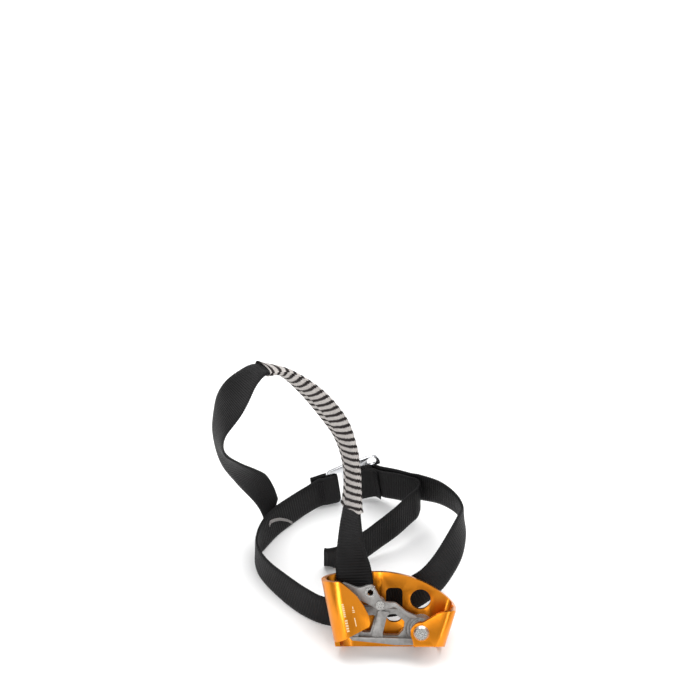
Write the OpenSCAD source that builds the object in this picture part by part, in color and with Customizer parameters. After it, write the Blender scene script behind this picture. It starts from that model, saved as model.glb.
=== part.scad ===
// Foot ascender: a folded plate frame with a toothed cam, on an ankle strap and an under-foot strap.
// Millimetres. +X right, +Y away from the open side of the frame, +Z up, standing on z = 0.

/* [Frame] */
// thickness of the folded sheet
sheet = 2.8; // [2.4:0.1:3.2]
// clear depth between the back plate and the lips
channel_depth = 15; // [15:0.5:17]
// radius of the round hole in the back plate
hole_r = 5.7; // [4:0.1:6.5]
// width of the upright slot in the back plate
slot_w = 9.2; // [7:0.2:10]

/* [Cam] */
// radius of the axle that the cam turns on
axle_r = 3; // [2.6:0.1:3.2]
// number of teeth on the gripping face
teeth = 9; // [6:1:11]
// height of each tooth
tooth_h = 1.1; // [0.6:0.1:1.4]

/* [Trigger] */
// thickness of the trigger
trigger_t = 2.8; // [2:0.2:3]
// radius of the cord hole in the trigger
trigger_hole_r = 1.7; // [1.2:0.1:1.9]

/* [Straps] */
// width of the webbing
web_w = 20; // [18:0.5:20]
// thickness of the webbing
web_t = 1.8; // [1.2:0.1:2]
// width of the wear sleeve laid flat
sleeve_w = 23; // [22.5:0.5:25]

/* [Buckle] */
// thickness of the buckle plate
buckle_t = 1.6; // [1.4:0.1:1.7]
// radius of the hole in the buckle's ear
ear_hole_r = 2.6; // [2:0.1:2.8]

/* [Hidden] */
$fn = 64;
lean = 32;                       // the frame leans back on its bottom edge
shift = [28.2, -53.4, 0];        // brings the middle of the whole part over the origin
lip_y = -channel_depth;          // inner face of the lips
mid_y = lip_y / 2;
split_y = mid_y + 0.6;
pivot = [17.2, 12.7];            // cam axle, across and up the plate
pin = [-5.6, 27.4];              // trigger pin
eye = [-11, 34.6];               // cord hole of the trigger
bend_r = channel_depth / 2;      // inner radius of the rope channel
left_tilt = 11.3;                // the channel's wall leans outward
right_tilt = -16.7;
left_x = -30;
join_x = -5;                     // where the two halves of the plate meet
step = 0.01;                     // offset between the halves, far below what a press holds
right_x = 29.2;
corner_r = 3;
trig_y = -9.5;                   // back face of the trigger
hub_r = 6.2;
hub_ribs = [7.2, 9];             // radii of the raised ribs around the hub
bush_r = 4;
run = 0.05;                      // radial clearance of the running fits
ear_hole = [11.8, 14.2];           // in the buckle's raised corner
steel = [0.62, 0.60, 0.58];
gold = [0.85, 0.52, 0.08];
web_c = [0.13, 0.13, 0.14];

// ---- outline helpers ----
function unit(v) = v / norm(v);
function corner(a, b, c, r) =
  let (u = unit(a - b), v = unit(c - b), h = acos(max(-1, min(1, u * v))) / 2,
       m = unit(u + v), o = b + m * r / sin(h), s = sign(u[0] * v[1] - u[1] * v[0]),
       a0 = atan2((-m)[1], (-m)[0]), w = 90 - h, n = max(1, ceil(w / 9)))
  [for (i = [0:n]) let (g = a0 + s * w * (1 - 2 * i / n)) o + r * [cos(g), sin(g)]];
// points are [x, y, corner radius]
function rounded(p) = [for (i = [0:len(p) - 1])
  let (a = p[(i + len(p) - 1) % len(p)], b = p[i], c = p[(i + 1) % len(p)])
  for (q = b[2] <= 0 ? [[b[0], b[1]]]
    : corner([a[0], a[1]], [b[0], b[1]], [c[0], c[1]], b[2])) q];

// across-and-up outline pushed through from y0 to y1
module upright(y0, y1) {
  translate([0, y1, 0]) rotate([90, 0, 0]) linear_extrude(y1 - y0) children();
}
module placed() { translate(shift) children(); }
module in_frame() { placed() rotate([-lean, 0, 0]) children(); }
module bore(p, r, y0, y1) { upright(y0, y1) translate(p) circle(r); }

// ---- strap helpers: Catmull-Rom through hand-set stations ----
function cr(a, b, c, d, t) = 0.5 * (2 * b + (c - a) * t + (2 * a - 5 * b + 4 * c - d) * t * t
  + (3 * b - a - 3 * c + d) * t * t * t);
function at(p, i) = p[max(0, min(len(p) - 1, i))];
function smooth(p, k) = concat([for (i = [0:len(p) - 2]) for (j = [0:k - 1])
  cr(at(p, i - 1), p[i], p[i + 1], at(p, i + 2), j / k)], [p[len(p) - 1]]);
function tangents(c) = [for (i = [0:len(c) - 1]) unit(at(c, i + 1) - at(c, i - 1))];
module loft(rings, n) {
  m = len(rings);
  polyhedron(points = [for (r = rings) for (q = r) q],
    faces = concat([[for (j = [0:n - 1]) j]],
      [for (i = [0:m - 2]) for (j = [0:n - 1]) let (a = i * n + j, b = i * n + (j + 1) % n)
        each [[a, a + n, b], [b, a + n, b + n]]],
      [[for (j = [n - 1:-1:0]) (m - 1) * n + j]]));
}
// stations are [centre, direction across the strap]
module ribbon(s, w, t, k = 5, off = 0) {
  c = smooth([for (q = s) q[0]], k);
  u = smooth([for (q = s) unit(q[1])], k);
  d = tangents(c);
  rings = [for (i = [0:len(c) - 1])
    let (f = unit(cross(d[i], unit(u[i]))), g = unit(u[i]) * w / 2, o = c[i] + f * off)
    [o - g - f * t / 2, o + g - f * t / 2, o + g + f * t / 2, o - g + f * t / 2]];
  placed() loft(rings, 4);
}

// ---- strap routes ----
// ankle strap: from the buckle round the left, behind the frame and out on its right
O = [-20, 113.5, 13.4];
roll_b = 5;                      // the buckle leans back, rises to the right and is turned
rise_b = 5.8;
yaw_b = 11.6;
x_b = [cos(rise_b) * cos(yaw_b), cos(rise_b) * sin(yaw_b), sin(rise_b)];
z_b = [-cos(roll_b) * sin(rise_b) * cos(yaw_b) - sin(roll_b) * sin(yaw_b),
  -cos(roll_b) * sin(rise_b) * sin(yaw_b) + sin(roll_b) * cos(yaw_b), cos(roll_b) * cos(rise_b)];
y_b = cross(z_b, x_b);
function bk(x, y, z) = O + x * x_b + y * y_b + z * z_b;
ankle_route = [
  [bk(-24, 0.75, 0), z_b], [bk(-20.5, 1.2, 0), z_b], [bk(-16.5, 1.85, 0), z_b],
  [bk(-13, 1.8, 0), z_b], [bk(-11, 1.8, 0), z_b], [bk(-9.7, 1.27, 0), z_b], [bk(-9.2, 0, 0), z_b],
  [bk(-9.7, -1.27, 0), z_b], [bk(-11, -1.8, 0), z_b], [bk(-13, -1.8, 0), z_b],
  [bk(-16.5, -1.85, 0), z_b], [bk(-20, -1.6, 0), z_b],
  [[-44, 104.6, 11], [-0.12, 0, 1]], [[-52, 98.3, 10.4], [-0.14, 0, 1]],
  [[-64, 86.5, 10.3], [-0.19, 0.02, 1]],
  [[-71, 75.5, 10.3], [-0.12, 0, 1]], [[-74.5, 66, 10.3], [0, -0.15, 1]],
  [[-73.5, 57, 10.3], [0.1, -0.2, 1]], [[-69, 48, 10.3], [0.2, -0.2, 1]],
  [[-60, 37, 10.3], [0.25, -0.1, 1]], [[-49, 26, 10.3], [0.22, 0, 1]],
  [[-38, 18.5, 10.4], [0.15, 0.05, 1]], [[-28, 17.6, 10.6], [0.05, 0.3, 1]],
  [[-15, 19.2, 11], [0, 0.3, 1]], [[-4, 21, 12], [-0.1, 0.3, 1]]];
adjust_route = [
  [[-6, 23.4, 11.8], [-0.15, 0.3, 1]], [[2, 23.6, 12.6], [-0.2, 0.3, 1]],
  [[13, 25.6, 17], [-0.45, 0.25, 1]],
  [[22.5, 30, 21.8], [-0.6, 0.05, 1]], [[29.5, 37, 26.5], [-0.55, 0, 1]],
  [[36, 48, 31], [-0.45, 0, 1]], [[40, 61, 33.5], [-0.25, -0.2, 1]],
  [[40.5, 71, 33], [0, -0.35, 1]], [[36.5, 81, 31.5], [0.03, -0.25, 1]],
  [[28, 91.5, 28.5], [0, -0.1, 1]], [[17, 101.5, 22.5], [0, 0, 1]],
  [[12, 105.2, 20], [0, 0, 1]], [[5.5, 109.6, 17.4], [0, 0.05, 1]], [[1, 112, 16.3], [0, 0.05, 1]],
  [[-4, 114.6, 15.2], z_b], [bk(12, 1.6, 0), z_b], [bk(9, 1.8, 0), z_b], [bk(7, 1.8, 0), z_b],
  [bk(5.6, 1.8, 0), z_b], [bk(4.3, 1.27, 0), z_b], [bk(3.8, 0, 0), z_b],
  [bk(4.3, -1.27, 0), z_b], [bk(5.6, -1.8, 0), z_b]];
tail_route = [
  [bk(8, -1.8, 0), z_b], [bk(11, -2.1, 0), z_b], [[-3.4, 110.6, 15.4], z_b],
  [[4, 107.2, 17.2], [0, 0.05, 1]], [[11, 102.4, 19.6], [0, 0.05, 1]],
  [[15.2, 99, 20.9], [0, 0.1, 1]], [[16.8, 95.6, 20.6], [0, 0.15, 1]],
  [[15.2, 91.8, 19.7], [-0.03, 0.2, 1]], [[11.5, 88.4, 18.6], [-0.05, 0.2, 1]],
  [[4, 80.5, 16.8], [0, 0.22, 1]], [[-5, 74, 13.8], [0, 0.15, 1]],
  [[-13.5, 67.8, 11.4], [0, 0.12, 1]], [[-22, 62.6, 10.4], [0, 0, 1]],
  [[-29.5, 59, 10.2], [0, -0.15, 1]], [[-32, 58.8, 10.1], [0, -0.2, 1]]];
foot_route = [
  [[-18, 15.2, 7], [1, 0.12, 0]], [[-18, 16.9, 13], [1, 0.12, 0]], [[-18.3, 18.2, 18], [1, 0.1, 0]],
  [[-18.6, 18.6, 21.6], [1, 0, 0]], [[-18.7, 18.3, 24], [1, 0, 0]], [[-18.8, 17.8, 26], [1, 0, 0]],
  [[-18.9, 17.4, 27.8], [1, 0, 0]], [[-19, 17.5, 30.3], [1, 0, 0]],
  [[-19.4, 18.5, 32.7], [1, 0, 0]], [[-20, 21, 36.8], [1, 0, 0.06]],
  [[-21.5, 28.5, 46], [0.8, -0.4, 0.4]], [[-21.8, 35, 57], [0.6, -0.6, 0.45]],
  [[-21.2, 42, 68], [0.44, -0.78, 0.44]], [[-20.8, 48, 79], [0.36, -0.82, 0.45]],
  [[-21.7, 54, 90.5], [0.39, -0.82, 0.43]], [[-25, 59, 104], [0.5, -0.76, 0.42]],
  [[-31.5, 63, 118], [0.6, -0.6, 0.52]], [[-43.5, 66.5, 134.5], [0.52, -0.58, 0.6]],
  [[-58, 70, 146], [0.3, -0.7, 0.65]], [[-70, 72, 147], [0.35, -0.8, 0.45]],
  [[-79, 74, 137], [0.5, -0.8, 0.25]], [[-88, 76, 117], [0.6, -0.75, -0.25]],
  [[-94.6, 79, 96], [0.3, -0.9, -0.1]], [[-95, 82, 77], [0.35, -0.92, 0.1]],
  [[-89, 86, 58], [0.52, -0.58, 0.6]], [[-80.5, 89, 44.5], [0.55, -0.25, 0.75]],
  [[-72.5, 90.7, 32.5], [0.35, 0.12, 0.88]], [[-68.2, 90.3, 22.5], [0.28, 0.36, 0.84]],
  [[-66.4, 88.5, 13.5], [0.35, 0.6, 0.7]]];
sleeve_from = 12;
sleeve_to = 19;

// ---- frame ----
module plate_outline() {
  intersection() {
    polygon(concat(arc([-7, -16], 59, -10, 90, 40), arc([-7, -217], 260, 91, 101, 4), [[-60, -30]]));
    translate([-60, -5]) square([120, 50]);
  }
}
module left_lip_outline() {
  polygon(rounded([[-60, 46, 0], [-29, 43, 10], [-18, 34, 30], [-10.8, 21, 10], [-11.4, 16.4, 2],
    [-15, 14.5, 0], [-29.4, 6.4, 0], [-60, -11.5, 0]]));
}
module right_lip_outline() {
  translate(pivot) circle(6);
  polygon(rounded([[45, 26, 0], [28, 24.8, 12], [18.4, 18.9, 3], [15, 18.2, 0], [12, 10, 0], [14, 0, 0],
    [45, 0, 0]]));
}
function arc(o, r, from, to, n = 12) = [for (i = [0:n])
  let (g = from + (to - from) * i / n) o + r * [cos(g), sin(g)]];
// section of the rope channel, open to the right, centred on the rope
module channel_section() {
  r = bend_r + sheet;
  polygon(concat([[60, r]], arc([0, 0], r, 90, 270, 24), [[60, -r], [60, -bend_r]],
    arc([0, 0], bend_r, 270, 90, 24), [[60, bend_r]]));
}
// section of the right side, open to the left, measured from the outside of its wall
module wall_section() {
  r = corner_r + sheet;
  back = [-r, -corner_r];
  front = [-r, lip_y + corner_r];
  polygon(concat([[-60, sheet]], arc(back, r, 90, 0), arc(front, r, 0, -90),
    [[-60, lip_y - sheet], [-60, lip_y]], arc(front, corner_r, -90, 0),
    arc(back, corner_r, 0, 90), [[-60, 0]]));
}
module left_half() {
  intersection() {
    translate([left_x, 0, 0]) rotate([0, -left_tilt, 0]) translate([bend_r + sheet, mid_y, -12])
      linear_extrude(70) channel_section();
    translate([join_x - 80, -40, -20]) cube([80, 80, 80]);
  }
}
module right_half() {
  intersection() {
    translate([right_x, -step, 0]) rotate([0, -right_tilt, 0]) translate([0, 0, -12])
      linear_extrude(70) wall_section();
    translate([join_x, -40, -20]) cube([80, 80, 80]);
  }
}
module slot_outline() {
  polygon(rounded([[2.3 - slot_w / 2, 34, 2.5], [2.3 + slot_w / 2, 34, 2.5],
    [2.3 + slot_w / 2, 14.3, 4], [2.3 - slot_w / 2, 14.3, 4]]));
}
module frame_plate() {
  color(gold) difference() {
    in_frame() folded_frame();
    // flat along the bottom edge that it stands on
    translate([-60, -80, -20]) cube([160, 80, 20]);
  }
}
module folded_frame() {
  difference() {
    intersection() {
      union() {
        left_half();
        right_half();
      }
      union() {
        upright(split_y, 5) plate_outline();
        upright(-25, split_y) intersection() {
          plate_outline();
          union() {
            left_lip_outline();
            right_lip_outline();
          }
        }
      }
    }
    translate([0, 0, 0.4]) rotate([-14.4, 0, 0]) translate([-70, -40, -30]) cube([140, 60, 30]);
    upright(-1, 5) slot_outline();
    bore([16.8, 27.4], hole_r, -1, 5);
    upright(-3, 5) translate([-29.4, 28.2]) square([21, 6.8]);
    bore(pivot, axle_r + run, -20, 5);
  }
}

// ---- cam ----
module cam_outline() {
  polygon(rounded([[-21.5, 7.3, 1.5], [-5, 5.6, 0], [3, 4.6, 0], [12, 4.6, 0], [17.2, 4.2, 0],
    [17.2, 18.8, 0], [12.4, 20.2, 4], [4.5, 24, 2], [-1.5, 24.6, 1.5], [-3.2, 28.6, 2], [-5.8, 31.4, 2],
    [-8.6, 28, 2], [-9.4, 25.2, 1],
    [-24, 25.4, 1.5], [-28.2, 23.4, 1], [-28.2, 19, 0], [-26.5, 14, 0], [-24, 10, 0]]));
}
module cam_window() {
  polygon(rounded([[-1.6, 21.2, 1.5], [3, 21.4, 2], [8.2, 17, 2], [7.4, 12.5, 2], [4.4, 8.8, 1.5],
    [-4.6, 8.9, 1.5]]));
}
module cam_pocket() {
  polygon(rounded([[-8.2, 20.8, 1], [-17.5, 20.8, 2], [-16, 10.8, 2], [-11, 10.8, 1]]));
}
module cam_body() {
  color(steel) in_frame() difference() {
    union() {
      upright(-8.9, -3.6) cam_outline();
      // the gripping end fills the channel's depth
      upright(-11.6, -3.4) intersection() {
        cam_outline();
        polygon([[-40, 0], [-17, 0], [-19.5, 40], [-40, 40]]);
      }
      upright(-12.8, -3.6) intersection() {
        cam_outline();
        polygon([[-21, 0], [15, 0], [12, 8.2], [-2, 8.6], [-21, 9.2]]);
      }
      bore(pivot, hub_r, -9, -1.1);
      bore(pivot, 5.6, -10.6, -1.1);
      upright(-10.4, -3.6) polygon(rounded([[-6.6, 23.6, 1], [-0.2, 23, 1], [-4, 8.4, 0],
        [-10.6, 8.4, 0]]));
      // ribs that follow the hub
      for (r = hub_ribs) upright(-9.5, -8) intersection() {
        translate(pivot) difference() {
          circle(r + 0.45);
          circle(r - 0.45);
        }
        cam_outline();
        polygon([[8.6, 6], [8.6, 30], [17, 30], [17, 6]]);
      }
    }
    upright(-14, 0) cam_window();
    upright(-14, 0) cam_pocket();
    bore(pivot, bush_r, -16, 2);
    bore(pin, 1.6 + run, -16, 2);
  }
}
module cam_teeth() {
  color(steel) in_frame() for (i = [0:teeth - 1]) {
    f = (i + 0.5) / teeth;
    z = 10.3 + 12.8 * f;
    x = z < 14 ? -24 - (z - 10) * 0.625 : (z < 19 ? -26.5 - (z - 14) * 0.34 : -28.2);
    upright(-11, -4) polygon([[x + 0.3, z - 0.6], [x + 0.3, z + 0.6], [x - tooth_h, z - 0.35]]);
  }
}
module cam_axle() {
  color(steel) in_frame() {
    bore(pivot, axle_r, lip_y - sheet - 0.1, sheet + 0.1);
    translate([pivot[0], lip_y - sheet, pivot[1]]) rotate([90, 0, 0])
      cylinder(r1 = 4.4, r2 = 3.4, h = 1.5);
    translate([pivot[0], sheet, pivot[1]]) rotate([-90, 0, 0])
      cylinder(r1 = 4.6, r2 = 3.6, h = 1.3);
  }
}
module axle_bush() {
  color([0.7, 0.6, 0.35]) in_frame() difference() {
    bore(pivot, bush_r, -10.6, -1.1);
    bore(pivot, axle_r + run, -12, 0);
  }
}
module washer(y0, y1, r) {
  color([0.75, 0.75, 0.76]) in_frame() difference() {
    bore(pivot, r, y0, y1);
    bore(pivot, axle_r + run, y0 - 1, y1 + 1);
  }
}
module coil(p, r, wire, y0, y1) {
  n = floor((y1 - y0) / (wire * 2 + 0.1));
  for (i = [0:n - 1]) translate([p[0], y0 + wire + i * (wire * 2 + 0.1), p[1]]) rotate([90, 0, 0])
    rotate_extrude() translate([r, 0]) circle(wire, $fn = 20);
}
module cam_spring() {
  color([0.5, 0.5, 0.52]) in_frame() {
    coil(pivot, 4.5, 0.6, -14, -10.8);
    translate([pivot[0] + 4.5, -11.4, pivot[1] - 5]) cylinder(r = 0.6, h = 5, $fn = 20);
  }
}

// ---- trigger ----
module trigger_outline() {
  polygon(rounded([[-28.4, 40.9, 1.1], [-23.6, 39.4, 2], [-17, 36.6, 6], [-13.6, 38.3, 3], [-9.6, 39.2, 3],
    [-6.6, 33.4, 3], [-3.8, 29, 3], [3.2, 28.5, 2.5], [9, 23.4, 6], [17.6, 19.4, 0.7],
    [11, 19.9, 4], [5.4, 24, 4], [2.6, 26.3, 2], [-1.5, 25.4, 2], [-5.6, 23.8, 3], [-9.4, 26.2, 4],
    [-19, 31.6, 4], [-24.6, 35.6, 3]]));
}
module trigger_lever() {
  color([0.66, 0.64, 0.6]) in_frame() difference() {
    upright(trig_y - trigger_t, trig_y) trigger_outline();
    bore(eye, 2.5, -14, -8);
    bore(pin, 1.6 + run, -14, -8);
  }
}
module trigger_eyelet() {
  color([0.8, 0.79, 0.77]) in_frame() difference() {
    union() {
      bore(eye, 2.5, trig_y - trigger_t, trig_y);
      bore(eye, 3, trig_y - trigger_t - 0.4, trig_y - trigger_t);
    }
    bore(eye, trigger_hole_r, -14, -8);
  }
}
module trigger_pin() {
  color([0.8, 0.79, 0.77]) in_frame() {
    bore(pin, 1.6, trig_y - trigger_t - 0.2, -2.6);
    bore(pin, 2.4, trig_y - trigger_t - 1, trig_y - trigger_t - 0.15);
    bore(pin, 2.2, -3.5, -2.6);
  }
}
module trigger_spring() {
  color([0.5, 0.5, 0.52]) in_frame() coil(pin, 2.2, 0.2, -9.45, -8.95);
}

// ---- straps ----
module under_foot_strap() { color(web_c) ribbon(foot_route, web_w, web_t, 4); }
module wear_sleeve() {
  s = [for (i = [sleeve_from:sleeve_to]) foot_route[i]];
  c = smooth([for (q = s) q[0]], 6);
  u = smooth([for (q = s) unit(q[1])], 6);
  d = tangents(c);
  function shell(w, t) = [for (i = [0:len(c) - 1])
    let (g = unit(u[i]), f = unit(cross(d[i], g)))
    [for (a = [0:22.5:359]) c[i] + g * (cos(a) * t / 2 + sign(cos(a)) * (w - t) / 2)
      + f * sin(a) * t / 2]];
  color([0.55, 0.52, 0.48]) placed() difference() {
    loft(shell(sleeve_w, web_t + 2.8), 16);
    loft([for (r = shell(sleeve_w - 1.4, web_t + 1.2)) r], 16);
  }
}
module sleeve_binding() {
  color([0.2, 0.18, 0.17]) ribbon([for (i = [sleeve_from:sleeve_to])
    [foot_route[i][0] + unit(foot_route[i][1]) * (sleeve_w / 2 + 0.3), foot_route[i][1]]],
    1, 1.4, 6);
}
module ankle_strap() { color(web_c) ribbon(ankle_route, web_w, web_t, 5); }
module adjust_strap() { color(web_c) ribbon(concat(adjust_route, tail_route), web_w, web_t, 5); }
module tail_end() {
  color(web_c) ribbon([[[-32.4, 58.8, 10.1], [0, -0.2, 1]], [[-34.5, 58.9, 10], [0, -0.25, 1]],
    [[-36.6, 59.3, 10], [0, -0.25, 1]]], web_w - 1, 2.6, 4);
}
module keeper_patch() {
  color(web_c) ribbon([[bk(3, -3.2, 0), z_b], [bk(8, -3.2, 0), z_b], [bk(11, -3.8, 0), z_b],
    [[-5.8, 109.6, 15.1], z_b]], web_w + 0.8, 0.8, 4);
}
module junction_bartack() {
  color([0.6, 0.58, 0.55]) ribbon([[[-66.4, 86, 12.5], [-0.19, 0.02, 1]],
    [[-58, 91.5, 12.5], [-0.19, 0.02, 1]]], 5, 0.6, 3);
}
module buckle_bartack() {
  color([0.3, 0.3, 0.3]) in_buckle() translate([-22, -2.6, -8]) cube([5, 0.6, 16]);
}
module frame_bartack() {
  color([0.3, 0.3, 0.3]) placed() translate([-25, 17.4, 8]) rotate([-16, 0, 0]) cube([14, 0.8, 9]);
}

// ---- buckle ----
module in_buckle() {
  placed() translate(O) rotate([-roll_b, -rise_b, yaw_b]) children();
}
module buckle_frame() {
  color([0.8, 0.8, 0.8]) in_buckle() difference() {
    upright(-buckle_t / 2, buckle_t / 2) difference() {
      polygon(rounded([[-15.5, -11.6, 4], [11.5, -11.6, 4], [11.5, 10.6, 0.5], [16.4, 10.6, 0.8],
        [17.2, 18.6, 5], [5.4, 16.6, 8], [-2.7, 15.5, 14], [-15.2, 12.2, 4]]));
      translate([-11, -10.3]) square([5, 20.6]);
      translate([0.5, -10.3]) square([5, 20.6]);
    }
    bore(ear_hole, ear_hole_r, -3, 3);
  }
}

frame_plate();
cam_body();
cam_teeth();
cam_axle();
axle_bush();
washer(-0.95, -0.1, 6.5);  // washer_rear
washer(lip_y + 0.1, lip_y + 0.8, 6);  // washer_front
cam_spring();
trigger_lever();
trigger_eyelet();
trigger_pin();
trigger_spring();
under_foot_strap();
wear_sleeve();
sleeve_binding();
ankle_strap();
adjust_strap();
tail_end();
buckle_frame();
keeper_patch();
junction_bartack();
buckle_bartack();
frame_bartack();
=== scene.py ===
import math

import bmesh
import bpy
from mathutils import Euler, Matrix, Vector


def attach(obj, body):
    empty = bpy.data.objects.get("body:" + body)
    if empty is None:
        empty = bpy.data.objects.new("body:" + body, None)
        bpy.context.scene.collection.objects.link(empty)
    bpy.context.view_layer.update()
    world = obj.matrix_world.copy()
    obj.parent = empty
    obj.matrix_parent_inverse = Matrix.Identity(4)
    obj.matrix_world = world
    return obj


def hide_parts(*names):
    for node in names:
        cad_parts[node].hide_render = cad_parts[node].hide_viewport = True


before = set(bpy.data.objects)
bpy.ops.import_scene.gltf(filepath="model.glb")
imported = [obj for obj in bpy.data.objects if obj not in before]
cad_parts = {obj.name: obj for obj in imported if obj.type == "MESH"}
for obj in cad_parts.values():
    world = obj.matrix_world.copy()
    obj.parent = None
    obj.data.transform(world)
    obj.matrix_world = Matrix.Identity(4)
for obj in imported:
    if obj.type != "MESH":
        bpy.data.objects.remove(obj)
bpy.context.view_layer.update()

# ---- sizes, in millimetres unless a name says otherwise ----
MM = 0.001                            # one millimetre, in metres
SHIFT = Vector((28.2, -53.4, 0))      # from the routes' origin to the part's own origin
LEAN = math.radians(32)               # the plate leans back
WEB_W = 20.0                          # webbing width
WEB_T = 1.8                           # webbing thickness
RIB = 1.6                             # pitch of the webbing's ribs
STRIPE = 4.2                          # pitch of the sleeve's stripes
SLEEVE_W = 23.4
SLEEVE_T = 4.8
SLEEVE_WALL = 0.8
TAIL_W = 19
TAIL_T = 2.6
KEEPER_W = 20.8
KEEPER_T = 0.8

# the buckle's middle, and how it is turned: back, up to the right and away
BUCKLE = Vector((-20, 113.5, 13.4))
BUCKLE_TURN = Euler((math.radians(-5), math.radians(-5.8), math.radians(11.6))).to_matrix()
UP = tuple(BUCKLE_TURN @ Vector((0, 0, 1)))


def at_buckle(x, y, z):
    """A point given along, through and up the buckle, in millimetres."""
    return tuple(BUCKLE + BUCKLE_TURN @ Vector((x, y, z)))


def on_frame(x, y, z):
    """Where a point across, through and up the leaning plate stands, in metres."""
    c = math.cos(LEAN)
    s = math.sin(LEAN)
    return (Vector((x, c * y + s * z, c * z - s * y)) + SHIFT) * MM


# ---- strap routes: centre and the direction across the strap, in millimetres ----
ANKLE = [
    (at_buckle(-24, 0.75, 0), UP), (at_buckle(-20.5, 1.2, 0), UP), (at_buckle(-16.5, 1.85, 0), UP),
    (at_buckle(-13, 1.8, 0), UP), (at_buckle(-11, 1.8, 0), UP), (at_buckle(-9.7, 1.27, 0), UP),
    (at_buckle(-9.2, 0, 0), UP), (at_buckle(-9.7, -1.27, 0), UP), (at_buckle(-11, -1.8, 0), UP),
    (at_buckle(-13, -1.8, 0), UP), (at_buckle(-16.5, -1.85, 0), UP), (at_buckle(-20, -1.6, 0), UP),
    ((-44, 104.6, 11), (-0.12, 0, 1)), ((-52, 98.3, 10.4), (-0.14, 0, 1)),
    ((-64, 86.5, 10.3), (-0.19, 0.02, 1)),
    ((-71, 75.5, 10.3), (-0.12, 0, 1)), ((-74.5, 66, 10.3), (0, -0.15, 1)),
    ((-73.5, 57, 10.3), (0.1, -0.2, 1)), ((-69, 48, 10.3), (0.2, -0.2, 1)),
    ((-60, 37, 10.3), (0.25, -0.1, 1)), ((-49, 26, 10.3), (0.22, 0, 1)),
    ((-38, 18.5, 10.4), (0.15, 0.05, 1)), ((-28, 17.6, 10.6), (0.05, 0.3, 1)),
    ((-15, 19.2, 11), (0, 0.3, 1)), ((-4, 21, 12), (-0.1, 0.3, 1)),
]
ADJUST = [
    ((-6, 23.4, 11.8), (-0.15, 0.3, 1)), ((2, 23.6, 12.6), (-0.2, 0.3, 1)),
    ((13, 25.6, 17), (-0.45, 0.25, 1)),
    ((22.5, 30, 21.8), (-0.6, 0.05, 1)), ((29.5, 37, 26.5), (-0.55, 0, 1)),
    ((36, 48, 31), (-0.45, 0, 1)), ((40, 61, 33.5), (-0.25, -0.2, 1)),
    ((40.5, 71, 33), (0, -0.35, 1)), ((36.5, 81, 31.5), (0.03, -0.25, 1)),
    ((28, 91.5, 28.5), (0, -0.1, 1)), ((17, 101.5, 22.5), (0, 0, 1)),
    ((12, 105.2, 20), (0, 0, 1)), ((5.5, 109.6, 17.4), (0, 0.05, 1)),
    ((1, 112, 16.3), (0, 0.05, 1)), ((-4, 114.6, 15.2), UP),
    (at_buckle(12, 1.6, 0), UP), (at_buckle(9, 1.8, 0), UP), (at_buckle(7, 1.8, 0), UP),
    (at_buckle(5.6, 1.8, 0), UP), (at_buckle(4.3, 1.27, 0), UP), (at_buckle(3.8, 0, 0), UP),
    (at_buckle(4.3, -1.27, 0), UP), (at_buckle(5.6, -1.8, 0), UP),
    (at_buckle(8, -1.8, 0), UP), (at_buckle(11, -2.1, 0), UP), ((-3.4, 110.6, 15.4), UP),
    ((4, 107.2, 17.2), (0, 0.05, 1)), ((11, 102.4, 19.6), (0, 0.05, 1)),
    ((15.2, 99, 20.9), (0, 0.1, 1)), ((16.8, 95.6, 20.6), (0, 0.15, 1)),
    ((15.2, 91.8, 19.7), (-0.03, 0.2, 1)), ((11.5, 88.4, 18.6), (-0.05, 0.2, 1)),
    ((4, 80.5, 16.8), (0, 0.22, 1)), ((-5, 74, 13.8), (0, 0.15, 1)),
    ((-13.5, 67.8, 11.4), (0, 0.12, 1)), ((-22, 62.6, 10.4), (0, 0, 1)),
    ((-29.5, 59, 10.2), (0, -0.15, 1)), ((-32, 58.8, 10.1), (0, -0.2, 1)),
]
FOOT = [
    ((-18, 15.2, 7), (1, 0.12, 0)), ((-18, 16.9, 13), (1, 0.12, 0)), ((-18.3, 18.2, 18), (1, 0.1, 0)),
    ((-18.6, 18.6, 21.6), (1, 0, 0)), ((-18.7, 18.3, 24), (1, 0, 0)), ((-18.8, 17.8, 26), (1, 0, 0)),
    ((-18.9, 17.4, 27.8), (1, 0, 0)), ((-19, 17.5, 30.3), (1, 0, 0)),
    ((-19.4, 18.5, 32.7), (1, 0, 0)), ((-20, 21, 36.8), (1, 0, 0.06)),
    ((-21.5, 28.5, 46), (0.8, -0.4, 0.4)), ((-21.8, 35, 57), (0.6, -0.6, 0.45)),
    ((-21.2, 42, 68), (0.44, -0.78, 0.44)), ((-20.8, 48, 79), (0.36, -0.82, 0.45)),
    ((-21.7, 54, 90.5), (0.39, -0.82, 0.43)), ((-25, 59, 104), (0.5, -0.76, 0.42)),
    ((-31.5, 63, 118), (0.6, -0.6, 0.52)), ((-43.5, 66.5, 134.5), (0.52, -0.58, 0.6)),
    ((-58, 70, 146), (0.3, -0.7, 0.65)), ((-70, 72, 147), (0.35, -0.8, 0.45)),
    ((-79, 74, 137), (0.5, -0.8, 0.25)), ((-88, 76, 117), (0.6, -0.75, -0.25)),
    ((-94.6, 79, 96), (0.3, -0.9, -0.1)), ((-95, 82, 77), (0.35, -0.92, 0.1)),
    ((-89, 86, 58), (0.52, -0.58, 0.6)), ((-80.5, 89, 44.5), (0.55, -0.25, 0.75)),
    ((-72.5, 90.7, 32.5), (0.35, 0.12, 0.88)), ((-68.2, 90.3, 22.5), (0.28, 0.36, 0.84)),
    ((-66.4, 88.5, 13.5), (0.35, 0.6, 0.7)),
]
TAIL_END = [
    ((-30.5, 58.9, 10.15), (0, -0.17, 1)), ((-34.5, 58.9, 10), (0, -0.25, 1)),
    ((-36.6, 59.3, 10), (0, -0.25, 1)),
]
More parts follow.
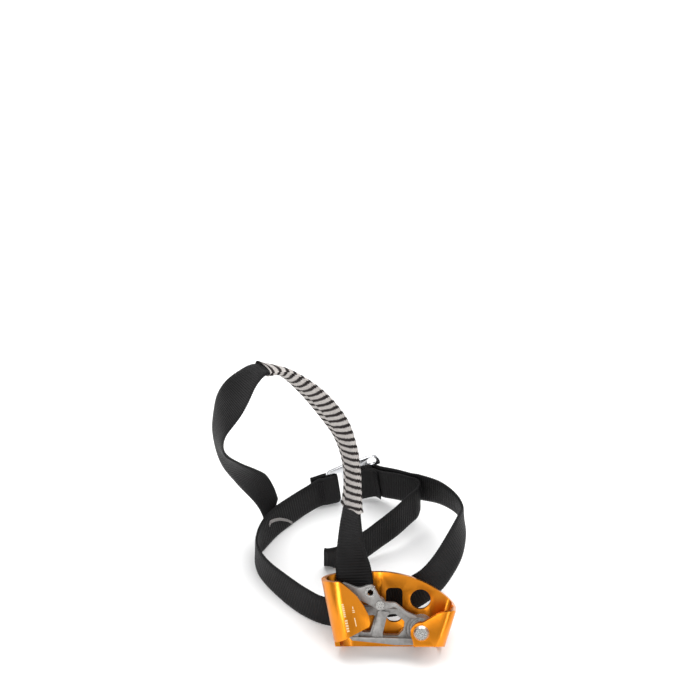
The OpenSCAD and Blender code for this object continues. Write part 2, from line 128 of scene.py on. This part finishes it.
KEEPER = [
    (at_buckle(3, -3.2, 0), UP), (at_buckle(8, -3.2, 0), UP), (at_buckle(11, -3.8, 0), UP),
    ((-5.8, 109.6, 15.1), UP),
]
# the sleeve covers this stretch of the foot strap's points
SLEEVE_FROM = 12
SLEEVE_TO = 19


# ---- curve maths ----
def spline(p, i, t):
    """Catmull-Rom between points i and i + 1."""
    last = len(p) - 1
    a, b, c, d = (p[max(0, min(last, k))] for k in (i - 1, i, i + 1, i + 2))
    return 0.5 * (2 * b + (c - a) * t + (2 * a - 5 * b + 4 * c - d) * t * t
                  + (3 * b - a - 3 * c + d) * t ** 3)


SPLINE_STEPS = 24


def even_stations(route, gap):
    """Stations at an even gap along the route: (distance, centre, across, forward)."""
    centres = [Vector(c) for c, _ in route]
    across = [Vector(r).normalized() for _, r in route]
    dense = []
    for i in range(len(route) - 1):
        for j in range(SPLINE_STEPS):
            t = j / SPLINE_STEPS
            dense.append((spline(centres, i, t), spline(across, i, t).normalized()))
    dense.append((centres[-1], across[-1]))
    run = [0.0]
    for (a, _), (b, _) in zip(dense, dense[1:]):
        run.append(run[-1] + (b - a).length)
    count = max(4, round(run[-1] / gap))
    out = []
    k = 0
    for n in range(count + 1):
        s = run[-1] * n / count
        while k < len(run) - 2 and run[k + 1] < s:
            k += 1
        f = (s - run[k]) / max(run[k + 1] - run[k], 1e-9)
        centre = dense[k][0].lerp(dense[k + 1][0], f)
        ruling = dense[k][1].lerp(dense[k + 1][1], f).normalized()
        out.append((s, centre, ruling))
    last = len(out) - 1
    stations = []
    for n, (s, centre, ruling) in enumerate(out):
        forward = out[min(last, n + 1)][1] - out[max(0, n - 1)][1]
        stations.append((s, centre, ruling, forward.normalized()))
    return stations


# ---- mesh helpers ----
def new_object(name, verts, faces, uvs=None, smooth=True):
    mesh = bpy.data.meshes.new(name)
    mesh.from_pydata(verts, [], faces)
    if uvs:
        layer = mesh.uv_layers.new(name="cloth")
        for loop in mesh.loops:
            layer.data[loop.index].uv = uvs[loop.vertex_index]
    mesh.polygons.foreach_set("use_smooth", [smooth] * len(mesh.polygons))
    mesh.update()
    obj = bpy.data.objects.new(name, mesh)
    bpy.context.scene.collection.objects.link(obj)
    return obj


def loft(name, rings, uvs):
    """Closed skin over equal rings of points, capped at both ends."""
    n = len(rings[0])
    m = len(rings)
    verts = [q for ring in rings for q in ring]
    faces = [(i * n + j, i * n + (j + 1) % n, (i + 1) * n + (j + 1) % n, (i + 1) * n + j)
             for i in range(m - 1) for j in range(n)]
    faces.append(tuple(range(n - 1, -1, -1)))
    faces.append(tuple((m - 1) * n + j for j in range(n)))
    return new_object(name, verts, faces, uvs)


def dress(obj, material, body):
    obj.data.materials.clear()
    obj.data.materials.append(material)
    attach(obj, body)
    return obj


WELD = 2e-6                           # metres
FLAT_ANGLE = math.radians(1.0)
EDGE_ANGLE = math.radians(25)


def refined(node, width, segments=3):
    """A copy of a CAD node with its edges rounded over, for the eye only."""
    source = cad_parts[node]
    mesh = source.data.copy()
    work = bmesh.new()
    work.from_mesh(mesh)
    bmesh.ops.remove_doubles(work, verts=work.verts, dist=WELD)
    bmesh.ops.dissolve_limit(work, angle_limit=FLAT_ANGLE, verts=work.verts, edges=work.edges)
    work.to_mesh(mesh)
    work.free()
    mesh.polygons.foreach_set("use_smooth", [True] * len(mesh.polygons))
    obj = bpy.data.objects.new(node + "_finish", mesh)
    bpy.context.scene.collection.objects.link(obj)
    bevel = obj.modifiers.new("edge", "BEVEL")
    bevel.width = width
    bevel.segments = segments
    bevel.limit_method = "ANGLE"
    bevel.angle_limit = EDGE_ANGLE
    bevel.harden_normals = True
    bevel.use_clamp_overlap = True
    bpy.context.view_layer.update()
    result = bpy.data.meshes.new_from_object(obj.evaluated_get(bpy.context.evaluated_depsgraph_get()))
    obj.modifiers.clear()
    obj.data = result
    return obj


# ---- materials ----
class Nodes:
    """Short hand for building one material's node tree."""

    def __init__(self, name, color, metallic, roughness):
        self.material = bpy.data.materials.new(name)
        self.material.use_nodes = True
        self.tree = self.material.node_tree
        self.shader = self.tree.nodes["Principled BSDF"]
        self.shader.inputs["Base Color"].default_value = (*color, 1)
        self.shader.inputs["Metallic"].default_value = metallic
        self.shader.inputs["Roughness"].default_value = roughness

    def add(self, kind, **values):
        node = self.tree.nodes.new(kind)
        for key, value in values.items():
            if key in node.inputs:
                node.inputs[key].default_value = value
            else:
                setattr(node, key, value)
        return node

    def join(self, a, out, b, into):
        self.tree.links.new(a.outputs[out], b.inputs[into])

    def coords(self, kind, scale=(1, 1, 1)):
        source = self.add("ShaderNodeTexCoord")
        mapping = self.add("ShaderNodeMapping")
        mapping.inputs["Scale"].default_value = scale
        self.join(source, kind, mapping, "Vector")
        return mapping

    def noise(self, where, scale, detail=4.0, rough=0.55):
        node = self.add("ShaderNodeTexNoise", Scale=scale, Detail=detail, Roughness=rough)
        self.join(where, "Vector", node, "Vector")
        return node

    def ramp(self, source, out, stops):
        node = self.add("ShaderNodeValToRGB")
        ramp = node.color_ramp
        while len(ramp.elements) < len(stops):
            ramp.elements.new(0.5)
        for element, (place, color) in zip(ramp.elements, stops):
            element.position = place
            element.color = color if len(color) == 4 else (*color, 1)
        self.join(source, out, node, "Fac")
        return node

    def bump(self, source, out, strength, distance, below=None):
        node = self.add("ShaderNodeBump", Strength=strength, Distance=distance)
        self.join(source, out, node, "Height")
        if below:
            self.join(below, "Normal", node, "Normal")
        return node


def grey(v):
    return (v, v, v)


def anodised():
    m = Nodes("anodised_orange", (0.74, 0.24, 0.010), 1.0, 0.3)
    where = m.coords("Object")
    broad = m.noise(where, 45, 3)
    tint = m.ramp(broad, "Fac", [(0.3, (0.66, 0.205, 0.007)), (0.7, (0.76, 0.255, 0.012))])
    m.join(tint, "Color", m.shader, "Base Color")
    grain = m.noise(m.coords("Object", (1, 6, 6)), 1400, 3)
    rough = m.ramp(grain, "Fac", [(0.2, grey(0.26)), (0.8, grey(0.36))])
    m.join(rough, "Color", m.shader, "Roughness")
    # the folded sheet is never quite flat
    wave = m.bump(m.noise(where, 55, 1, 0.3), "Fac", 0.55, 0.0022)
    fine = m.bump(grain, "Fac", 0.16, 0.00006, wave)
    m.join(fine, "Normal", m.shader, "Normal")
    m.shader.inputs["Coat Weight"].default_value = 0.25
    m.shader.inputs["Coat Roughness"].default_value = 0.18
    return m.material


def cast_steel(name="cast_steel", tone=0.27, lift=1.0):
    m = Nodes(name, grey(tone), 0.85, 0.45)
    where = m.coords("Object")
    patch = m.noise(where, 260, 5, 0.65)
    tint = m.ramp(patch, "Fac", [(0.25, (tone * 0.62, tone * 0.60, tone * 0.58)),
                                 (0.55, (tone, tone * 0.975, tone * 0.95)),
                                 (0.8, (tone * 1.25, tone * 1.22, tone * 1.18))])
    m.join(tint, "Color", m.shader, "Base Color")
    rough = m.ramp(patch, "Fac", [(0.2, grey(0.58)), (0.8, grey(0.36))])
    m.join(rough, "Color", m.shader, "Roughness")
    grain = m.noise(where, 2600, 4, 0.7)
    coarse = m.noise(where, 700, 3)
    low = m.bump(coarse, "Fac", 0.25 * lift, 0.0002)
    fine = m.bump(grain, "Fac", 0.3 * lift, 0.0001, low)
    m.join(fine, "Normal", m.shader, "Normal")
    return m.material


def turned_steel():
    m = Nodes("turned_steel", (0.62, 0.61, 0.59), 1.0, 0.28)
    where = m.coords("Object")
    grain = m.noise(where, 1800, 3)
    tint = m.ramp(grain, "Fac", [(0.3, (0.52, 0.51, 0.49)), (0.7, (0.70, 0.69, 0.67))])
    m.join(tint, "Color", m.shader, "Base Color")
    rough = m.ramp(grain, "Fac", [(0.3, grey(0.2)), (0.7, grey(0.38))])
    m.join(rough, "Color", m.shader, "Roughness")
    fine = m.bump(grain, "Fac", 0.15, 0.00005)
    m.join(fine, "Normal", m.shader, "Normal")
    return m.material


def polished():
    m = Nodes("buckle_metal", (0.78, 0.79, 0.81), 1.0, 0.2)
    where = m.coords("Object")
    smear = m.noise(where, 160, 4)
    rough = m.ramp(smear, "Fac", [(0.3, grey(0.14)), (0.75, grey(0.3))])
    m.join(rough, "Color", m.shader, "Roughness")
    tint = m.ramp(smear, "Fac", [(0.3, (0.70, 0.71, 0.74)), (0.75, (0.84, 0.85, 0.86))])
    m.join(tint, "Color", m.shader, "Base Color")
    fine = m.bump(m.noise(where, 2200, 2), "Fac", 0.08, 0.00004)
    m.join(fine, "Normal", m.shader, "Normal")
    return m.material


def brass():
    m = Nodes("bush_bronze", (0.55, 0.38, 0.16), 1.0, 0.35)
    grain = m.noise(m.coords("Object"), 900, 3)
    tint = m.ramp(grain, "Fac", [(0.3, (0.46, 0.31, 0.13)), (0.7, (0.62, 0.44, 0.2))])
    m.join(tint, "Color", m.shader, "Base Color")
    return m.material


def webbing_cloth():
    """Black ribbed nylon: warp yarns run along the strap over each rib."""
    m = Nodes("webbing_black", (0.006, 0.0058, 0.006), 0.0, 0.5)
    across = m.add("ShaderNodeTexWave", Scale=700.0, Distortion=1.5, wave_type="BANDS",
                   bands_direction="Y")
    m.join(m.coords("UV"), "Vector", across, "Vector")
    fuzz = m.noise(m.coords("UV", (1, 3, 1)), 2400, 4, 0.7)
    broad = m.noise(m.coords("Object"), 60, 3)
    tint = m.ramp(broad, "Fac", [(0.3, (0.0045, 0.0043, 0.0046)), (0.7, (0.008, 0.0076, 0.008))])
    yarn = m.add("ShaderNodeMixRGB", blend_type="ADD", Fac=0.002)
    m.join(tint, "Color", yarn, "Color1")
    m.join(across, "Color", yarn, "Color2")
    m.join(yarn, "Color", m.shader, "Base Color")
    low = m.bump(across, "Fac", 0.5, 0.00012)
    fine = m.bump(fuzz, "Fac", 0.35, 0.0001, low)
    m.join(fine, "Normal", m.shader, "Normal")
    m.shader.inputs["Specular IOR Level"].default_value = 0.14
    return m.material


def sleeve_cloth():
    """Woven sleeve: pale and dark bands across it, with stepped edges at each yarn."""
    m = Nodes("sleeve_stripes", (0.5, 0.47, 0.44), 0.0, 0.8)
    place = m.add("ShaderNodeSeparateXYZ")
    m.join(m.coords("UV"), "Vector", place, "Vector")
    steps = m.add("ShaderNodeMath", operation="PINGPONG")
    steps.inputs[1].default_value = 0.0006
    m.join(place, "Y", steps, 0)
    slide = m.add("ShaderNodeMath", operation="MULTIPLY_ADD")
    slide.inputs[1].default_value = 1.1
    m.join(steps, "Value", slide, 0)
    m.join(place, "X", slide, 2)
    wobble = m.noise(m.coords("UV"), 420, 3)
    shaken = m.add("ShaderNodeMath", operation="MULTIPLY_ADD")
    shaken.inputs[1].default_value = 0.0009
    m.join(wobble, "Fac", shaken, 0)
    m.join(slide, "Value", shaken, 2)
    turn = m.add("ShaderNodeMath", operation="MULTIPLY")
    turn.inputs[1].default_value = 2 * math.pi / (STRIPE * MM)
    m.join(shaken, "Value", turn, 0)
    wave = m.add("ShaderNodeMath", operation="SINE")
    m.join(turn, "Value", wave, 0)
    half = m.add("ShaderNodeMath", operation="MULTIPLY_ADD")
    half.inputs[1].default_value = 0.5
    half.inputs[2].default_value = 0.5
    m.join(wave, "Value", half, 0)
    pale = m.noise(m.coords("Object"), 900, 4)
    light = m.ramp(pale, "Fac", [(0.3, (0.34, 0.315, 0.30)), (0.7, (0.50, 0.47, 0.45))])
    dark = m.ramp(pale, "Fac", [(0.3, (0.008, 0.006, 0.006)), (0.7, (0.018, 0.013, 0.012))])
    edge = m.ramp(half, "Value", [(0.37, grey(0.0)), (0.47, grey(1.0))])
    paint = m.add("ShaderNodeMixRGB", blend_type="MIX")
    m.join(edge, "Color", paint, "Fac")
    m.join(dark, "Color", paint, "Color1")
    m.join(light, "Color", paint, "Color2")
    m.join(paint, "Color", m.shader, "Base Color")
    yarn = m.add("ShaderNodeTexWave", Scale=280.0, Distortion=2.0, wave_type="BANDS",
                 bands_direction="Y")
    m.join(m.coords("UV"), "Vector", yarn, "Vector")
    low = m.bump(yarn, "Fac", 0.5, 0.0003)
    fuzz = m.noise(m.coords("Object"), 3200, 4, 0.7)
    fine = m.bump(fuzz, "Fac", 0.4, 0.00015, low)
    m.join(fine, "Normal", m.shader, "Normal")
    m.shader.inputs["Specular IOR Level"].default_value = 0.2
    return m.material


def thread(name, dark, pale):
    m = Nodes(name, dark, 0.0, 0.7)
    grain = m.noise(m.coords("Object"), 2600, 3)
    tint = m.ramp(grain, "Fac", [(0.3, dark), (0.7, pale)])
    m.join(tint, "Color", m.shader, "Base Color")
    fine = m.bump(grain, "Fac", 0.5, 0.0001)
    m.join(fine, "Normal", m.shader, "Normal")
    return m.material


def floor_paint():
    m = Nodes("studio_floor", grey(0.9), 0.0, 0.7)
    grain = m.noise(m.coords("Object"), 4, 2)
    tint = m.ramp(grain, "Fac", [(0.3, grey(0.88)), (0.7, grey(0.92))])
    m.join(tint, "Color", m.shader, "Base Color")
    return m.material


ORANGE = anodised()
STEEL = cast_steel()
LEVER_STEEL = cast_steel("trigger_steel", 0.3, 0.8)
RIVET = turned_steel()
METAL = polished()
BRASS = brass()
WEBBING = webbing_cloth()
SLEEVE = sleeve_cloth()
GREY_THREAD = thread("thread_grey", (0.22, 0.205, 0.2), (0.42, 0.40, 0.39))
DARK_THREAD = thread("thread_black", (0.010, 0.009, 0.010), (0.022, 0.02, 0.022))
SPRING = cast_steel("spring_wire", 0.4, 0.3)
MARK = thread("mark_pale", (0.62, 0.42, 0.2), (0.8, 0.62, 0.38))


# ---- straps ----
OTHER_FACE = 60                       # keeps the second face's cloth apart
WEB_COLUMNS = 11
RIB_STATIONS = 6
RIB_ROUND = 0.7
EDGE_POWER = 10                       # how suddenly the web thins near its edges
EDGE_THINNING = 0.45
EDGE_RIB_LOSS = 0.8
EDGE_NOTCH = 0.012                    # how far the edge steps in between two ribs


def webbing(name, route, width=WEB_W, thick=WEB_T, ribs=0.26):
    """Ribbed webbing with rolled edges, laid along a route."""
    half = width / 2
    rings = []
    uvs = []
    for s, centre, across, forward in even_stations(route, RIB / RIB_STATIONS):
        face = forward.cross(across).normalized()
        crest = abs(math.sin(math.pi * s / RIB)) ** RIB_ROUND
        ring = []
        for side in (1, -1):
            for k in range(WEB_COLUMNS):
                v = (1 - 2 * k / (WEB_COLUMNS - 1)) * side
                edge = abs(v) ** EDGE_POWER
                ground = (thick / 2 - ribs) * (1 - EDGE_THINNING * edge)
                lift = ground + ribs * crest * (1 - EDGE_RIB_LOSS * edge)
                reach = half * v * (1 if abs(v) < 1 else 1 - EDGE_NOTCH * (1 - crest))
                point = centre + across * reach + face * lift * side
                ring.append((point + SHIFT) * MM)
                uvs.append((s * MM, (half * v + (OTHER_FACE if side < 0 else 0)) * MM))
        rings.append(ring)
    return loft(name, rings, uvs)


SLEEVE_AROUND = 64
STRIPE_STATIONS = 10
SIDE_POWER = 0.8                      # both powers square the oval section up
FACE_POWER = 0.9
LIP_FLARE = 0.5                       # each end flares out over a short reach
LIP_REACH = 1.2
MOUTH_FLARE = 0.5                     # the upper end flares again, over a longer one
MOUTH_REACH = 4
FLARE_ON_FACE = 0.6                   # share of the flares that thickens the sleeve
STRIPE_BULGE = 0.22
BULGE_ON_EDGE = 0.6                   # share of the bulge that widens it
CREASE_AT = 4.2                       # the crease's place across the near side, at the start
CREASE_DRIFT = 0.03
CREASE_DEPTH = 0.5
CREASE_WIDTH = 1.1
FRAY = 0.5                            # the upper end's ragged edge
FRAY_WAVES = 5
FRAY_REACH = 1.5
STRIPE_STEP = 1.5                     # the stripes slip by this much at the crease
STEP_WIDTH = 0.25
NEAR_SLANT = 0.13
FAR_SLANT = 0.07


def sleeve(name, route):
    """Flattened woven tube, gathered on the strap, with a lip turned in at each end."""
    rings = []
    uvs = []
    stations = even_stations(route, STRIPE / STRIPE_STATIONS)
    length = stations[-1][0]

    def ring_at(s, centre, across, forward, grow):
        """One ring at distance s: its points, and where each lies on the cloth."""
        face = forward.cross(across).normalized()
        end = min(s, length - s)
        flare = LIP_FLARE * math.exp(-end / LIP_REACH) + MOUTH_FLARE * math.exp(-s / MOUTH_REACH)
        bulge = STRIPE_BULGE * math.sin(2 * math.pi * s / STRIPE)
        fray = FRAY * math.exp(-s / FRAY_REACH) if grow == 0 else 0
        half_w = SLEEVE_W / 2 + grow + flare
        half_t = SLEEVE_T / 2 + grow + flare * FLARE_ON_FACE
        ring = []
        marks = []
        for k in range(SLEEVE_AROUND):
            a = 2 * math.pi * k / SLEEVE_AROUND
            side = math.sin(a)
            x = math.copysign(abs(math.cos(a)) ** SIDE_POWER, math.cos(a)) * half_w
            y = math.copysign(abs(side) ** FACE_POWER, side) * half_t
            from_crease = x + CREASE_AT - CREASE_DRIFT * s
            crease = CREASE_DEPTH * math.exp(-(from_crease / CREASE_WIDTH) ** 2) if side < 0 else 0
            y += math.copysign(bulge * abs(side) - crease, side)
            reach = x + bulge * BULGE_ON_EDGE * math.cos(a)
            ragged = fray * math.sin(FRAY_WAVES * a + 1)
            point = centre + across * reach + face * y + forward * ragged
            ring.append((point + SHIFT) * MM)
            slip = STRIPE_STEP / (1 + math.exp(-from_crease / STEP_WIDTH))
            slant = FAR_SLANT * x if side > 0 else slip - NEAR_SLANT * x
            marks.append(((s + slant) * MM, (x + (OTHER_FACE if side < 0 else 0)) * MM))
        return ring, marks

    for station in stations:
        ring, marks = ring_at(*station, 0.0)
        rings.append(ring)
        uvs += marks
    # the inside wall, back to the start, so that the open ends show thickness
    for station in reversed(stations):
        ring, marks = ring_at(*station, -SLEEVE_WALL)
        rings.append(ring)
        uvs += marks
    verts = [q for ring in rings for q in ring]
    faces = []
    for i in range(len(rings)):
        here = i * SLEEVE_AROUND
        there = ((i + 1) % len(rings)) * SLEEVE_AROUND
        for j in range(SLEEVE_AROUND):
            k = (j + 1) % SLEEVE_AROUND
            faces.append((here + j, here + k, there + k, there + j))
    return new_object(name, verts, faces, uvs)


THREAD_SIDES = 2


def thread_run(name, rows, radius, material, body):
    """Rows of stitching as thin tubes, one for each list of points."""
    curve = bpy.data.curves.new(name, "CURVE")
    curve.dimensions = "3D"
    curve.bevel_depth = radius
    curve.bevel_resolution = THREAD_SIDES
    for run in rows:
        line = curve.splines.new("POLY")
        line.points.add(len(run) - 1)
        for point, place in zip(line.points, run):
            point.co = (*place, 1)
    obj = bpy.data.objects.new(name, curve)
    bpy.context.scene.collection.objects.link(obj)
    bpy.context.view_layer.update()
    mesh = bpy.data.meshes.new_from_object(obj.evaluated_get(bpy.context.evaluated_depsgraph_get()))
    bpy.data.objects.remove(obj)
    solid = bpy.data.objects.new(name, mesh)
    bpy.context.scene.collection.objects.link(solid)
    return dress(solid, material, body)


ankle = dress(webbing("ankle_webbing", ANKLE), WEBBING, "frame")
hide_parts("ankle_strap")
adjust = dress(webbing("adjusting_webbing", ADJUST), WEBBING, "frame")
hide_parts("adjust_strap")
foot = dress(webbing("foot_webbing", FOOT), WEBBING, "frame")
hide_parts("under_foot_strap")
tail = dress(webbing("tail_fold", TAIL_END, TAIL_W, TAIL_T), WEBBING, "frame")
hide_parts("tail_end")
keeper = dress(webbing("keeper", KEEPER, KEEPER_W, KEEPER_T, ribs=0.1), WEBBING, "frame")
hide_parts("keeper_patch")
COVERED = FOOT[SLEEVE_FROM:SLEEVE_TO + 1]
cover = dress(sleeve("striped_sleeve", COVERED), SLEEVE, "frame")
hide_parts("wear_sleeve", "sleeve_binding")

# ---- stitching ----
# the junction's curved seam crosses the ankle strap, on the side that faces the frame
SEAM = ((-68, 3.4), (-67, 5.0), (-64.6, 3.2), (-62.2, 1.0), (-59, -3.2), (-56.6, -8.0))
SEAM_ROWS = 4
SEAM_ROW_GAP = 0.55
SEAM_SWING = 0.3
SEAM_STITCH = 0.35
SEAM_THREAD = 0.2                     # the thread's radius
SEAM_BEHIND = 70                      # the seam lies beyond this, not beside the frame
PROUD = 0.12                          # how far the thread's middle stands off the cloth


def seam_height(across):
    """Height of the seam above the strap's middle line, in millimetres."""
    for (x0, h0), (x1, h1) in zip(SEAM, SEAM[1:]):
        if x0 <= across <= x1:
            return h0 + (h1 - h0) * (across - x0) / (x1 - x0)
    return None


def junction_rows():
    """The rows of the curved seam, zigzagging along the ankle strap's surface."""
    rows = [[] for _ in range(SEAM_ROWS)]
    for n, (_, centre, across, forward) in enumerate(even_stations(ANKLE, SEAM_STITCH)):
        height = seam_height(centre.x)
        if height is None or centre.y < SEAM_BEHIND:
            continue
        inward = -forward.cross(across).normalized()
        swing = SEAM_SWING if n % 2 else -SEAM_SWING
        for row, run in enumerate(rows):
            up = height - SEAM_ROW_GAP * row + swing
            place = centre + across * up + inward * (WEB_T / 2 + PROUD)
            run.append(tuple((place + SHIFT) * MM))
    return rows


# the block of zigzag rows that closes the ankle strap's loop at the buckle
BLOCK_ROWS = 5
BLOCK_STITCHES = 26
BLOCK_HEIGHT = 16
BLOCK_SWING = 0.4
BLOCK_FROM = -21.8
BLOCK_ROW_GAP = 1.1
BLOCK_FACE = -2.75
BLOCK_THREAD = 0.16


def block_rows():
    """The rows of the block, each running up the strap."""
    rows = []
    for row in range(BLOCK_ROWS):
        run = []
        for k in range(BLOCK_STITCHES + 1):
            along = BLOCK_FROM + row * BLOCK_ROW_GAP + (BLOCK_SWING if k % 2 else -BLOCK_SWING)
            up = -BLOCK_HEIGHT / 2 + BLOCK_HEIGHT * k / BLOCK_STITCHES
            place = Vector(at_buckle(along, BLOCK_FACE, up))
            run.append(tuple((place + SHIFT) * MM))
        rows.append(run)
    return rows


junction = thread_run("junction_seam", junction_rows(), SEAM_THREAD * MM, GREY_THREAD,
                      "frame")
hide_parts("junction_bartack")
buckle_seam = thread_run("buckle_seam", block_rows(), BLOCK_THREAD * MM, DARK_THREAD,
                         "frame")
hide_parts("buckle_bartack")

# ---- metal: CAD copies with their edges rounded to these widths ----
PLATE_EDGE = 0.45
CAM_EDGE = 0.35
LEVER_EDGE = 0.4
BUCKLE_EDGE = 0.45
plate = dress(refined("frame_plate", PLATE_EDGE * MM), ORANGE, "frame")
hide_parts("frame_plate")
cam = dress(refined("cam_body", CAM_EDGE * MM), STEEL, "cam")
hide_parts("cam_body")
lever = dress(refined("trigger_lever", LEVER_EDGE * MM), LEVER_STEEL, "trigger")
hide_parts("trigger_lever")
buckle = dress(refined("buckle_frame", BUCKLE_EDGE * MM), METAL, "frame")
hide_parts("buckle_frame")

# these CAD pieces are shown as they are and only need a material
for node, material in {
    "cam_teeth": STEEL, "cam_axle": RIVET, "axle_bush": BRASS, "washer_rear": RIVET,
    "washer_front": RIVET, "cam_spring": SPRING, "trigger_eyelet": RIVET, "trigger_pin": RIVET,
    "trigger_spring": SPRING, "frame_bartack": DARK_THREAD,
}.items():
    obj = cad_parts[node]
    obj.data.materials.clear()
    obj.data.materials.append(material)

# ---- pale etched marks on the left lip: plain bars, no lettering ----
MARK_TILT = math.radians(11.3)        # the lip leans to the left
MARK_FACE = -17.82
MARK_CORNER = (-23.9, 13.4)           # lower left corner of the marks


def bar(x, z, width, height):
    """A rectangle, by its lower left corner, in millimetres along the lip."""
    return [(x, z), (x + width, z), (x + width, z + height), (x, z + height)]


def etched(name, outlines):
    """Flat shapes laid on the left lip, each a list of (across, up) points in millimetres."""
    verts = []
    faces = []
    for outline in outlines:
        faces.append(tuple(range(len(verts), len(verts) + len(outline))))
        for across, up in outline:
            x = MARK_CORNER[0] + across * math.cos(MARK_TILT) - up * math.sin(MARK_TILT)
            z = MARK_CORNER[1] + across * math.sin(MARK_TILT) + up * math.cos(MARK_TILT)
            verts.append(on_frame(x, MARK_FACE, z))
    return dress(new_object(name, verts, faces, smooth=False), MARK, "frame")


bars = [bar(0, 1.5 * k, 1.5, 0.9) for k in range(5)]
bars += [bar(0, 8.6 + 1.15 * k, 1.2, 0.7) for k in range(7)]
bars += [bar(5.2, 10.2, 1.3, 0.5), bar(5.2, 11.2, 1.3, 0.5)]
bars += [bar(5.6, 12.2, 0.5, 1.6), bar(5.4, 2.2, 0.5, 5)]
etched("etched_marks", bars)

# ---- floor, light and camera ----
FLOOR_SIZE = 6
bpy.ops.mesh.primitive_plane_add(size=FLOOR_SIZE, location=(0, 0, 0))
floor = bpy.context.object
floor.name = "floor"
floor.data.materials.append(floor_paint())


def area_light(name, place, target, size, power):
    data = bpy.data.lights.new(name, "AREA")
    data.shape = "RECTANGLE"
    data.size, data.size_y = size
    data.energy = power
    light = bpy.data.objects.new(name, data)
    light.location = place
    light.rotation_euler = (Vector(target) - Vector(place)).to_track_quat("-Z", "Y").to_euler()
    bpy.context.scene.collection.objects.link(light)
    return light


area_light("left_box", (-0.5, -1.0, 0.45), (0, 0, 0.03), (0.3, 0.7), 5)
area_light("top_box", (0.1, 0.45, 1.2), (0, 0.05, 0), (1.6, 1.2), 20)
area_light("right_strip", (0.55, -0.95, 0.35), (0, 0, 0.03), (0.12, 0.7), 2)

# a studio sky that is darker low down, so that the folded sheet shows bands
SKY_STRENGTH = 0.8
SKY_STOPS = ((0.15, 0.34), (0.62, 1.0))
world = bpy.data.worlds.new("studio")
bpy.context.scene.world = world
world.use_nodes = True
sky = world.node_tree.nodes["Background"]
sky.inputs["Strength"].default_value = SKY_STRENGTH
where = world.node_tree.nodes.new("ShaderNodeTexCoord")
height = world.node_tree.nodes.new("ShaderNodeSeparateXYZ")
shade = world.node_tree.nodes.new("ShaderNodeValToRGB")
for element, (place, tone) in zip(shade.color_ramp.elements, SKY_STOPS):
    element.position = place
    element.color = (tone, tone, tone, 1)
world.node_tree.links.new(where.outputs["Generated"], height.inputs["Vector"])
world.node_tree.links.new(height.outputs["Z"], shade.inputs["Fac"])
world.node_tree.links.new(shade.outputs["Color"], sky.inputs["Color"])

# the photograph looks down at 45 degrees, from far off, at 1800 pixels to the metre
ELEVATION = math.radians(45)
DISTANCE = 4.0
PX_PER_M = 1800
PICTURE_PX = 680
SENSOR_MM = 36
CLIP_END = 20
AIM = Vector((0.0004, 0.0672, 0.1206))
camera_data = bpy.data.cameras.new("camera")
camera_data.sensor_width = SENSOR_MM
camera_data.lens = PX_PER_M * DISTANCE * SENSOR_MM / PICTURE_PX
camera_data.clip_end = CLIP_END
camera = bpy.data.objects.new("camera", camera_data)
look = Vector((0, math.cos(ELEVATION), -math.sin(ELEVATION)))
camera.location = AIM - look * DISTANCE
camera.rotation_euler = look.to_track_quat("-Z", "Y").to_euler()
bpy.context.scene.collection.objects.link(camera)
bpy.context.scene.camera = camera
bpy.context.scene.view_settings.view_transform = "Standard"
